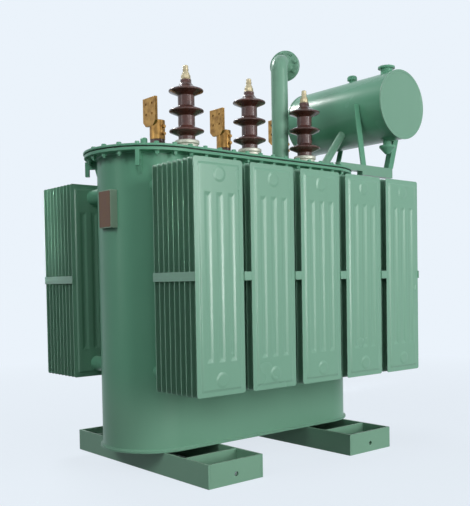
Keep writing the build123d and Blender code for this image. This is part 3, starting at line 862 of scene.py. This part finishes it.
class TRANSFORMER_OT_hv_bushings(bpy.types.Operator):
    """Turn the porcelain bushings, their clamps and brass terminals"""
    bl_idname = "transformer.hv_bushings"
    bl_label = "High-voltage bushings"

    def execute(self, context):
        bolts = context.scene.transformer_bolts
        clamp_low, clamp_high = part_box("hv_clamps")
        foot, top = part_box("hv_insulators")
        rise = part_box("hv_terminals")[1].z - top.z
        y = (clamp_low.y + clamp_high.y) / 2
        wide, tall = (clamp_high.y - clamp_low.y) / 2, clamp_high.z - clamp_low.z
        shed = (top.y - foot.y) / 2
        whole = top.z - foot.z
        body = [(0, 0), (HV_CORE, 0)]
        for middle in HV_SHEDS:
            body.append((HV_CORE, middle - HV_SHED_ROOT))
            body += steps_from(shed, middle, HV_SHED)
            body.append((HV_CORE, middle + HV_SHED_ROOT))
        body += [HV_HEAD_NECK, (HV_HEAD, HV_HEAD_FOOT), (HV_HEAD, whole), (0, whole)]
        clamp = [(HV_CORE, 0), (wide, 0), (wide, HV_PLATE), HV_PLATE_TOP, *steps_from(0, tall, HV_LIP)]
        stem = [*HV_STUD, *steps_from(0, rise, HV_STUD_TIP)]
        nut_foot, nut_top, nut_radius = HV_STUD_NUT
        porcelain, clamps, brass = [], [], []
        for index, x in enumerate(middles("hv_clamps", 3)):
            base, seat, stud = (Vector((x, y, level)) for level in (clamp_low.z, foot.z, top.z))
            porcelain.append(turned(f"insulator_{index}", body, seat, rounding=0.004, segments=3))
            nut = hex_head("clamp_nut", bolts.small_flats * HV_NUT_SIZE, height=0.007, washer=0.0015)
            clamps += [turned(f"collar_{index}", clamp, base, rounding=0.002),
                       ring_of(nut, f"clamp_nuts_{index}", base + UP * HV_PLATE, HV_NUT_RING, HV_NUTS,
                               start=math.pi / HV_NUTS)]
            nut = rod(f"stud_nut_{index}", stud + UP * nut_foot, stud + UP * nut_top, nut_radius, 6)
            brass += [turned(f"stud_{index}", stem, stud, steps=40, rounding=0.001), soften(nut, 0.0015),
                      turned(f"stud_collar_{index}", HV_STUD_COLLAR, stud, steps=40, rounding=0.0005)]
        hand_over(gather("hv_porcelain", porcelain), "porcelain", "hv_insulators")
        hand_over(gather("hv_clamp_rings", clamps), "alloy", "hv_clamps")
        hand_over(gather("hv_studs", brass), "tinned", "hv_terminals")
        return {"FINISHED"}


class TRANSFORMER_OT_lv_terminals(bpy.types.Operator):
    """Finish the low-voltage flags and turn their insulators"""
    bl_idname = "transformer.lv_terminals"
    bl_label = "Low-voltage terminals"

    def execute(self, context):
        low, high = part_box("lv_insulators")
        y = (low.y + high.y) / 2
        radius, rise = (high.y - low.y) / 2, high.z - low.z
        stump = [(0, 0)]
        for around, span in zip((radius, LV_NECK, radius), LV_RIBS):
            stump += [(around, level) for level in span]
        stump += [(LV_NECK, LV_NECK_TOP), (LV_NECK, rise), (0, rise)]
        flags, stumps = [soft_copy("lv_terminals", 0.0025, 3)], []
        for index, x in enumerate(middles("lv_insulators", 3)):
            stumps.append(turned(f"stump_{index}", stump, (x, y, low.z), rounding=0.003))
            for level in LV_SCREWS:
                screw = hex_head("clamp_screw", flats=0.019, height=0.010, washer=0.002)
                at = (x + LV_SCREW_X, y + LV_SCREW_Y, high.z + level)
                flags.append(aimed(screw, at, (0, -1, 0)))
        hand_over(gather("lv_flags", flags), "brass", "lv_terminals")
        hand_over(gather("lv_porcelain", stumps), "porcelain", "lv_insulators")
        return {"FINISHED"}


PIPE_BEAD, DRUM_BEAD = 0.005, 0.004  # radii of the weld beads on the vent and the drum
VENT_TURN = 0.2  # turn of the ring of bolts about the mouth
VENT_JOINT = 0.005  # from the flanges' rim in to the joint
VENT_FACE, VENT_FACE_DEPTH = ((0, 0), (-0.032, 0), (-0.036, -0.008)), 0.005


class TRANSFORMER_OT_vent(bpy.types.Operator):
    """Bend the relief vent's pipe and bolt the two flanges on its mouth"""
    bl_idname = "transformer.vent"
    bl_label = "Relief vent"

    def execute(self, context):
        sizes = context.scene.transformer_vent
        flats = context.scene.transformer_bolts.small_flats
        foot_low, foot_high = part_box("vent_foot")
        disc_low, disc_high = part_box("vent_disc")
        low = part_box("vent_pipe")[0]
        foot, mouth = (foot_low + foot_high) / 2, (disc_low + disc_high) / 2
        radius, rim = foot.x - low.x, (disc_high.z - disc_low.z) / 2
        reach = math.hypot(mouth.x - foot.x, mouth.y - foot.y)
        heading = math.atan2(mouth.y - foot.y, mouth.x - foot.x)
        thick = 2 * sizes.flange + sizes.joint
        back, front = Vector((reach - thick / 2, 0, mouth.z)), Vector((reach + thick / 2, 0, mouth.z))
        along = Vector((1, 0, 0))
        bend_z = mouth.z - sizes.bend
        pipe = primitive(bpy.ops.mesh.primitive_circle_add, "vent_tube", vertices=64, radius=radius,
                         location=(0, 0, low.z))
        with editing(pipe):
            bpy.ops.mesh.extrude_region_move(TRANSFORM_OT_translate={"value": (0, 0, bend_z - low.z)})
            bpy.ops.mesh.spin(steps=20, angle=-math.pi / 2, center=(sizes.bend, 0, bend_z), axis=(0, 1, 0))
            bpy.ops.mesh.extrude_region_move(TRANSFORM_OT_translate={"value": (back.x - sizes.bend, 0, 0)})
        close_up(pipe)
        step, joint = sizes.flange + sizes.joint, rim - VENT_JOINT
        pair = [(0, 0), (rim, 0), (rim, sizes.flange), (joint, sizes.flange), (joint, step), (rim, step),
                *steps_from(rim, thick, VENT_FACE), (0, thick - VENT_FACE_DEPTH)]
        flanges = turned("vent_flanges", pair)
        heads = ring_of(hex_head("flange_head", flats, height=0.009), "flange_heads", back, sizes.bolt_ring,
                        sizes.bolts, -along, VENT_TURN)
        wide, tall = foot_high.x - foot.x, foot_high.z - foot_low.z
        plate = turned("vent_plate", [(0, 0), (wide, 0), (wide, tall), (0, tall)], (0, 0, foot_low.z),
                       rounding=0.002)
        pieces = [smooth(pipe, angle=60), aimed(flanges, back, along), heads, plate,
                  aimed(bead_ring("mouth_bead", radius, PIPE_BEAD), back, along),
                  place(bead_ring("foot_bead", radius, PIPE_BEAD), (0, 0, foot_high.z))]
        vent = place(gather("vent_assembly", pieces), (foot.x, foot.y, 0), (0, 0, heading))
        hand_over(vent, "fitting_paint_with_sheen", "vent_pipe", "vent_disc", "vent_foot")
        nuts = ring_of(hex_head("flange_nut", flats, height=0.012), "vent_nuts", front, sizes.bolt_ring,
                       sizes.bolts, along, VENT_TURN)
        hand_over(place(nuts, (foot.x, foot.y, 0), (0, 0, heading)), "zinc")
        return {"FINISHED"}


# The drum's fittings: neck radii, depths, and profiles as steps from a rim
DRUM_WALL = 0.005
DRUM_LIP, DRUM_DISH = ((0, 0), (-0.012, 0), (-0.016, -0.003)), 0.002
FILLER_NECK, FILLER_SUNK, FILLER_LID = 0.022, 0.004, ((0, -0.032), (0, -0.010), (-0.008, 0))
HATCH_NECK, HATCH_FACE = 0.040, 0.004
HATCH_LID = ((0, -0.018), (0, -0.010), (-0.001, -0.009), (-0.001, -HATCH_FACE))
HATCH_SCREWS, HATCH_SCREW_INSET = 6, 0.010
SUMP_NECK, SUMP_SUNK, SUMP_PLUG, SUMP_BOWL = 0.028, 0.006, 0.014, 0.058
SUMP_RIM = ((0, 0), (0, -0.014), (-0.005, -0.019))


class TRANSFORMER_OT_conservator(bpy.types.Operator):
    """Roll the conservator's drum and turn its ends, caps and sump"""
    bl_idname = "transformer.conservator"
    bl_label = "Conservator"

    def execute(self, context):
        low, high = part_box("conservator_shell")
        middle = (low + high) / 2
        radius = (high.z - low.z) / 2
        shell = rod("drum_wall", (middle.x, low.y, middle.z), (middle.x, high.y, middle.z), radius, 128)
        with editing(shell):
            pick("FACE", lambda co, normal: abs(normal.y) > 0.9)
            bpy.ops.mesh.delete(type="FACE")
        only(shell)
        wall = shell.modifiers.new("wall", "SOLIDIFY")
        wall.thickness = DRUM_WALL
        wall.offset = -1.0
        bpy.ops.object.modifier_apply(modifier=wall.name)
        hand_over(smooth(shell), "drum_paint", "conservator_shell")
        for node, way in (("conservator_front_end", -1), ("conservator_rear_end", 1)):
            end_low, end_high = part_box(node)
            rim, thick = (end_high.z - end_low.z) / 2, end_high.y - end_low.y
            dish = [(0, 0), (rim, 0), *steps_from(rim, thick, DRUM_LIP), (0, thick - DRUM_DISH)]
            seat = (middle.x, end_high.y if way < 0 else end_low.y, middle.z)
            pair = [turned(node + "_plate", dish, steps=128), bead_ring("drum_bead", radius, DRUM_BEAD)]
            plate = gather(node + "_plate", [aimed(piece, seat, (0, way, 0)) for piece in pair])
            hand_over(plate, "fitting_paint_with_sheen", node)
        cap_low, cap_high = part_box("filler_cap")
        wide, top = (cap_high.x - cap_low.x) / 2, cap_high.z - high.z
        lid = [(FILLER_NECK, -FILLER_SUNK), (FILLER_NECK, top + FILLER_LID[0][1]),
               *steps_from(wide, top, FILLER_LID), (0, top)]
        filler = turned("filler", lid, (middle.x, 0, high.z), steps=48, rounding=0.003, segments=3)
        hand_over(filler, "tank_paint", "filler_cap")
        cap_low, cap_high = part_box("inspection_cap")
        wide, top = (cap_high.x - cap_low.x) / 2, cap_high.z - high.z
        cap_y = (cap_low.y + cap_high.y) / 2
        face = top - HATCH_FACE
        lid = [(HATCH_NECK, -DRUM_WALL), (HATCH_NECK, top + HATCH_LID[0][1]),
               *steps_from(wide, top, HATCH_LID), (0, face)]
        hatch = turned("inspection", lid, (middle.x, cap_y, high.z), steps=64, rounding=0.0012)
        hand_over(hatch, "tank_paint", "inspection_cap")
        screws = ring_of(hex_head("cap_screw", flats=0.012, height=0.003, washer=0.001), "inspection_screws",
                         (middle.x, cap_y, high.z + face), wide - HATCH_SCREW_INSET, HATCH_SCREWS)
        hand_over(screws, "zinc")
        sump_low, sump_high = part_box("oil_sump")
        wide, foot = (sump_high.x - sump_low.x) / 2, sump_low.z - low.z
        bowl = foot + SUMP_BOWL
        cup = [(SUMP_NECK, SUMP_SUNK), (SUMP_NECK, bowl), *steps_from(wide, bowl, SUMP_RIM), (SUMP_PLUG, foot),
               (0, foot)]
        sump = turned("sump", cup, (middle.x, cap_y, low.z), steps=48, rounding=0.002)
        hand_over(sump, "tank_paint", "oil_sump")
        return {"FINISHED"}


class TRANSFORMER_OT_seat(bpy.types.Operator):
    """Finish the conservator's beams, legs and oil pipe"""
    bl_idname = "transformer.seat"
    bl_label = "Conservator seat"

    def execute(self, context):
        round_off("conservator_beams", 0.002, "fitting_paint_with_sheen")
        round_off("conservator_legs", 0.0015, "tank_paint")
        round_off("oil_pipe", 0.0008, "fitting_paint_with_sheen")
        return {"FINISHED"}


PLATE_CORNER, PLATE_BORDER, PLATE_STEP, PLATE_SUNK = 0.008, 0.005, 0.001, 0.0006
RIVETS = ((-0.050, -0.090), (-0.050, 0.090), (0.050, -0.090), (0.050, 0.090))  # across and up from the middle
RIVET = ((0.004, 0), (0.0036, 0.0006), (0.002, 0.0011), (0, 0.0012))
POCKET_FOOT, POCKET_STEM = 0.008, ((0.016, 0.010), (0.016, 0.060))
POCKET_HEAD, POCKET_HEAD_FOOT = (-0.002, -0.006), 0.062  # the head's rim, from the pocket's rim and top
POCKET_TIP = 0.014


class TRANSFORMER_OT_end_fittings(bpy.types.Operator):
    """Finish the blank rating plate, its bracket, the lifting hooks and the thermometer pocket"""
    bl_idname = "transformer.end_fittings"
    bl_label = "End fittings"

    def execute(self, context):
        round_off("nameplate_bracket", 0.0008, "bracket_paint_and_light")
        low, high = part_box("nameplate")
        middle = (low + high) / 2
        plate = primitive(bpy.ops.mesh.primitive_cube_add, "blank_plate", high - low, size=1, location=middle)
        with editing(plate):
            pick("EDGE", lambda co, run: abs(run.normalized().x) > 0.9)
            bpy.ops.mesh.bevel(offset=PLATE_CORNER, segments=4, affect="EDGES")
            pick("FACE", lambda co, normal: normal.x < -0.9)
            bpy.ops.mesh.inset(thickness=PLATE_BORDER, depth=0)
            bpy.ops.mesh.inset(thickness=PLATE_STEP, depth=-PLATE_SUNK)
        pieces = [smooth(plate)]
        for index, (across, up) in enumerate(RIVETS):
            rivet = turned(f"rivet_{index}", RIVET, steps=16, rounding=0)
            spot = (low.x + RIVET[-1][1], middle.y + across, middle.z + up)
            pieces.append(aimed(rivet, spot, (-1, 0, 0)))
        hand_over(gather("blank_plate", pieces), "copper", "nameplate")
        round_off("lifting_hooks", 0.002, "tank_paint")
        low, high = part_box("thermometer_pocket")
        middle = (low + high) / 2
        radius, tall = (high.x - low.x) / 2, high.z - low.z
        rim = radius + POCKET_HEAD[0]
        stem = [(0, 0), (radius, 0), (radius, POCKET_FOOT), *POCKET_STEM, (rim, POCKET_HEAD_FOOT),
                (rim, tall + POCKET_HEAD[1]), (POCKET_TIP, tall), (0, tall)]
        pocket = turned("pocket", stem, (middle.x, middle.y, low.z), steps=32)
        hand_over(pocket, "tank_paint", "thermometer_pocket")
        return {"FINISHED"}


# Stage: floor, background, lights and the camera

FLOOR_SIZE = 160.0
FLOOR_NEAR, FLOOR_FAR, FLOOR_NEAR_GLOW = 1.6, 6.0, 0.84  # the floor darkens a little near the object
FLOOR_SHADE = (0.10, 0.10, 0.095, 1)  # the floor as it lights the object
SKY_LIGHT, SKY_STRENGTH = (0.86, 0.93, 1.0, 1), 0.10

CAMERA_AT = Vector((-3.2610, -3.6313, 1.0370))
CAMERA_YAW = math.radians(49.76)
CAMERA_PITCH = math.radians(-1.94)
CAMERA_ROLL = math.radians(-0.97)
CAMERA_LENS = 53.9
CAMERA_SENSOR = 36.0
CAMERA_SHIFT_Y = 0.1097

PLAIN = {}
UNSEEN = {"mirrored": False}  # lights the object and shows in no glossy surface
BEAM = {"mirrored": False, "spread": 6.0}
GLOSS = {"lights": False}  # shows in glossy surfaces only
LAMPS = (  # name, place, aim, width and height, watts, kind
    ("front_lamp", (0.4, -7.4, 2.3), (0.1, 0, 1.0), (5.0, 3.6), 310, UNSEEN),
    ("right_lamp", (3.9, -6.3, 2.0), (-0.6, -0.7, 1.2), (3.0, 3.0), 90, UNSEEN),
    ("left_lamp", (-6.2, -0.9, 4.6), (-0.9, 0, 1.3), (2.0, 2.0), 115, UNSEEN),
    ("rear_lamp", (-4.2, 0.45, 2.9), (-1.0, 0.76, 1.45), (0.3, 0.6), 1.1, BEAM),
    ("fin_lamp", (-4.4, -0.3, 3.0), (-1.0, -0.64, 1.45), (0.3, 0.6), 0.5, BEAM),
    ("fill_lamp", (-4.8, -4.6, 3.6), (-0.3, 0, 1.4), (2.5, 2.5), 34, UNSEEN),
    ("over_lamp", (-2.4, -1.2, 6.9), (0.1, 0, 1.5), (2.5, 2.5), 28, PLAIN),
    ("high_lamp", (-0.15, 3.6, 5.2), (0.9, -0.1, 2.2), (1.2, 0.6), 140, PLAIN),
    ("long_strip", (-1.06, -7.2, 1.55), (-0.8, -0.7, 1.2), (0.8, 2.6), 105, GLOSS),
    ("short_strip", (0.5, -7.2, 1.5), (-0.1, -0.7, 1.2), (0.7, 2.6), 38, GLOSS),
    ("corner_strip", (-3.05, -7.2, 2.35), (-0.8, -0.7, 1.4), (1.3, 0.6), 36, GLOSS),
    ("boss_strip", (2.65, -7.2, 3.3), (-0.5, -0.7, 1.2), (1.9, 3.8), 136, GLOSS),
    ("side_strip", (-6.2, 1.3, 2.4), (-1.0, 0, 1.3), (1.2, 3.6), 32, GLOSS),
)


def soft_lamp(name, at, aim, size, power, mirrored=True, lights=True, spread=180.0):
    """A rectangular lamp that shines at a point; it may light only, or show only in glossy surfaces."""
    data = bpy.data.lights.new(name, "AREA")
    data.shape = "RECTANGLE"
    data.size, data.size_y = size
    data.energy = power
    data.spread = math.radians(spread)
    lamp = bpy.data.objects.new(name, data)
    lamp.visible_glossy = mirrored
    lamp.visible_diffuse = lights
    bpy.context.scene.collection.objects.link(lamp)
    lamp.location = at
    lamp.rotation_euler = (Vector(aim) - Vector(at)).to_track_quat("-Z", "Y").to_euler()


def photo_camera(scene):
    """A camera at the photo's viewing angle."""
    data = bpy.data.cameras.new("photo_camera")
    camera = bpy.data.objects.new("photo_camera", data)
    scene.collection.objects.link(camera)
    forward = Vector((math.cos(CAMERA_YAW) * math.cos(CAMERA_PITCH),
                      math.sin(CAMERA_YAW) * math.cos(CAMERA_PITCH), math.sin(CAMERA_PITCH)))
    level = Vector((math.sin(CAMERA_YAW), -math.cos(CAMERA_YAW), 0))
    upright = level.cross(forward)
    right = level * math.cos(CAMERA_ROLL) + upright * math.sin(CAMERA_ROLL)
    up = upright * math.cos(CAMERA_ROLL) - level * math.sin(CAMERA_ROLL)
    turn = Matrix((right, up, -forward)).transposed().to_4x4()
    camera.matrix_world = Matrix.Translation(CAMERA_AT) @ turn
    data.lens = CAMERA_LENS
    data.sensor_width = CAMERA_SENSOR
    data.sensor_fit = "AUTO"
    data.shift_y = CAMERA_SHIFT_Y
    scene.camera = camera


def background_rays(tree):
    """1 for rays that see the background: from the camera, or mirrored or let through by a surface."""
    rays = add(tree, "LightPath").outputs
    return plus(tree, plus(tree, rays["Is Camera Ray"], rays["Is Glossy Ray"]), rays["Is Transmission Ray"])


def open_ground(tree, at):
    """0 inside the skid rails, where the floor lies in shadow, and 1 elsewhere."""
    past = []
    for side in ("left", "right"):
        low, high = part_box(f"{side}_rail_webs")
        half = (high - low) / 2
        off = add(tree, "VectorMath", {0: at, 1: (low + high) / 2}, operation="SUBTRACT").outputs["Vector"]
        off = add(tree, "VectorMath", {0: off}, operation="ABSOLUTE").outputs["Vector"]
        past.append(plus(tree, value_of(tree, "GREATER_THAN", part_of(tree, off, "X"), half.x),
                         value_of(tree, "GREATER_THAN", part_of(tree, off, "Y"), half.y)))
    return times(tree, *past)


def pale_floor(pale):
    """A pale floor that glows like the background and keeps the object's shadow."""
    tree, shader, at = fresh("pale_floor")
    tone = blend(tree, noise(tree, at, 0.7, 3.0), opaque(pale), opaque(tuple(0.97 * part for part in pale)))
    seen = background_rays(tree)
    tree.links.new(blend(tree, seen, FLOOR_SHADE, tone), shader.inputs["Base Color"])
    shader.inputs["Roughness"].default_value = 0.9
    shader.inputs["Specular IOR Level"].default_value = 0.1
    glow = add(tree, "Emission", {"Color": opaque(pale), "Strength": 1.0}).outputs[0]
    far = add(tree, "VectorMath", {0: at}, operation="LENGTH").outputs["Value"]
    far = ramp(tree, far, FLOOR_NEAR, FLOOR_FAR, FLOOR_NEAR_GLOW, 1.0)
    factor = times(tree, times(tree, far, seen), open_ground(tree, at))
    mixed = add(tree, "MixShader", {0: factor, 1: shader.outputs[0], 2: glow})
    tree.links.new(mixed.outputs[0], tree.nodes["Material Output"].inputs["Surface"])
    return FINISHES["pale_floor"]


def pale_world(pale):
    """A sky that shows pale and lights the object faintly."""
    world = bpy.data.worlds.new("pale_sky")
    world.use_nodes = True
    tree = world.node_tree
    seen = add(tree, "Background", {"Color": opaque(pale), "Strength": 1.0}).outputs[0]
    light = add(tree, "Background", {"Color": SKY_LIGHT, "Strength": SKY_STRENGTH}).outputs[0]
    mixed = add(tree, "MixShader", {0: background_rays(tree), 1: light, 2: seen})
    tree.links.new(mixed.outputs[0], tree.nodes["World Output"].inputs["Surface"])
    tree.nodes.remove(tree.nodes["Background"])
    bpy.context.scene.world = world


class TRANSFORMER_OT_stage(bpy.types.Operator):
    """Lay the pale floor and set the lights, background and camera"""
    bl_idname = "transformer.stage"
    bl_label = "Stage"

    def execute(self, context):
        scene = context.scene
        pale = tuple(scene.transformer_colours.backdrop)
        floor = primitive(bpy.ops.mesh.primitive_plane_add, "floor", size=FLOOR_SIZE,
                          location=(0, 0, CAD_BOX[0].z))
        floor.data.materials.append(pale_floor(pale))
        pale_world(pale)
        for name, at, aim, size, power, kind in LAMPS:
            soft_lamp(name, at, aim, size, power, **kind)
        photo_camera(scene)
        scene.view_settings.view_transform = "Standard"
        return {"FINISHED"}


STEPS = (TRANSFORMER_OT_finishes, TRANSFORMER_OT_tank, TRANSFORMER_OT_rim_bolts, TRANSFORMER_OT_radiators,
         TRANSFORMER_OT_straps, TRANSFORMER_OT_rails, TRANSFORMER_OT_hv_bushings, TRANSFORMER_OT_lv_terminals,
         TRANSFORMER_OT_vent, TRANSFORMER_OT_conservator, TRANSFORMER_OT_seat, TRANSFORMER_OT_end_fittings,
         TRANSFORMER_OT_stage)


class TRANSFORMER_PT_panel(bpy.types.Panel):
    """Lists the steps that dress the transformer"""
    bl_idname = "TRANSFORMER_PT_panel"
    bl_label = "Transformer"
    bl_space_type = "VIEW_3D"
    bl_region_type = "UI"
    bl_category = "Transformer"

    def draw(self, context):
        for step in STEPS:
            self.layout.operator(step.bl_idname, text=step.bl_label)
        for key in GROUPS:
            group = getattr(context.scene, key)
            box = self.layout.box()
            for name in group.__annotations__:
                box.prop(group, name)


GROUPS = {"transformer_radiators": RadiatorSizes, "transformer_vent": VentSizes, "transformer_bolts": BoltSizes,
          "transformer_colours": FinishColours}
CLASSES = (*GROUPS.values(), *STEPS, TRANSFORMER_PT_panel)


def register():
    for item in CLASSES:
        bpy.utils.register_class(item)
    for name, group in GROUPS.items():
        setattr(bpy.types.Scene, name, bpy.props.PointerProperty(type=group))


def unregister():
    for name in GROUPS:
        delattr(bpy.types.Scene, name)
    for item in reversed(CLASSES):
        bpy.utils.unregister_class(item)


def main():
    register()
    for step in STEPS:
        group, name = step.bl_idname.split(".")
        getattr(getattr(bpy.ops, group), name)()


if __name__ == "__main__":
    main()
